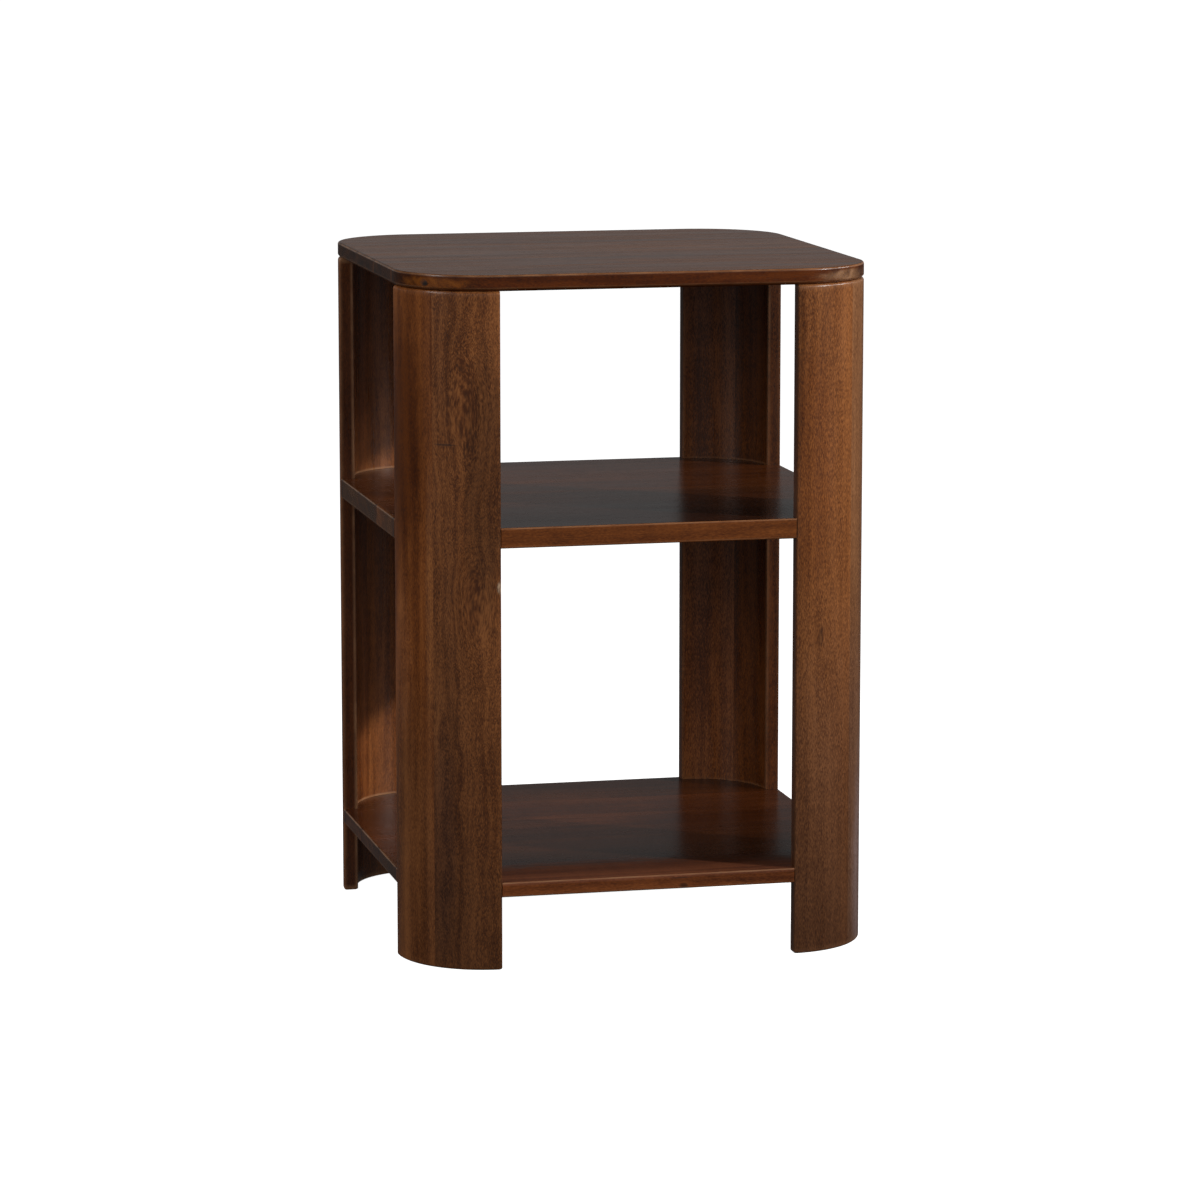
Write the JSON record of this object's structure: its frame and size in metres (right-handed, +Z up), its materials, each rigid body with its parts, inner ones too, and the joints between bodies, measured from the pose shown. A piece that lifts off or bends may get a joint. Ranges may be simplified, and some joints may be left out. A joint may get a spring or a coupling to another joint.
{
  "type": "nightstand",
  "caption": "Open square nightstand in dark-stained solid wood: round-cornered top on quarter-round legs, with a middle and a bottom shelf let in to them.",
  "frame": {"origin": "on the floor, under the middle of the top", "axes": "+Z up, +X to the right and -Y to the front, as the picture shows it"},
  "size_m": [0.45, 0.45, 0.65],
  "materials": {
    "top_wood": "dark stain, satin lacquer",
    "shelf_wood": "dark stain, satin lacquer",
    "leg_wood": "dark stain, satin lacquer",
    "dowel_wood": "bare, glued in"
  },
  "bodies": {
    "root": {"top_board_1": "top_wood", "top_board_2": "top_wood", "top_board_3": "top_wood", "top_board_4": "top_wood", "top_board_5": "top_wood", "middle_shelf_board_1": "shelf_wood", "middle_shelf_board_2": "shelf_wood", "middle_shelf_board_3": "shelf_wood", "middle_shelf_board_4": "shelf_wood", "middle_shelf_board_5": "shelf_wood", "bottom_shelf_board_1": "shelf_wood", "bottom_shelf_board_2": "shelf_wood", "bottom_shelf_board_3": "shelf_wood", "bottom_shelf_board_4": "shelf_wood", "bottom_shelf_board_5": "shelf_wood", "front_left_leg_side_stave": "leg_wood", "front_left_leg_front_stave": "leg_wood", "front_right_leg_side_stave": "leg_wood", "front_right_leg_front_stave": "leg_wood", "back_left_leg_side_stave": "leg_wood", "back_left_leg_back_stave": "leg_wood", "back_right_leg_side_stave": "leg_wood", "back_right_leg_back_stave": "leg_wood", "top_dowels": "dowel_wood"}
  },
  "joints": []
}
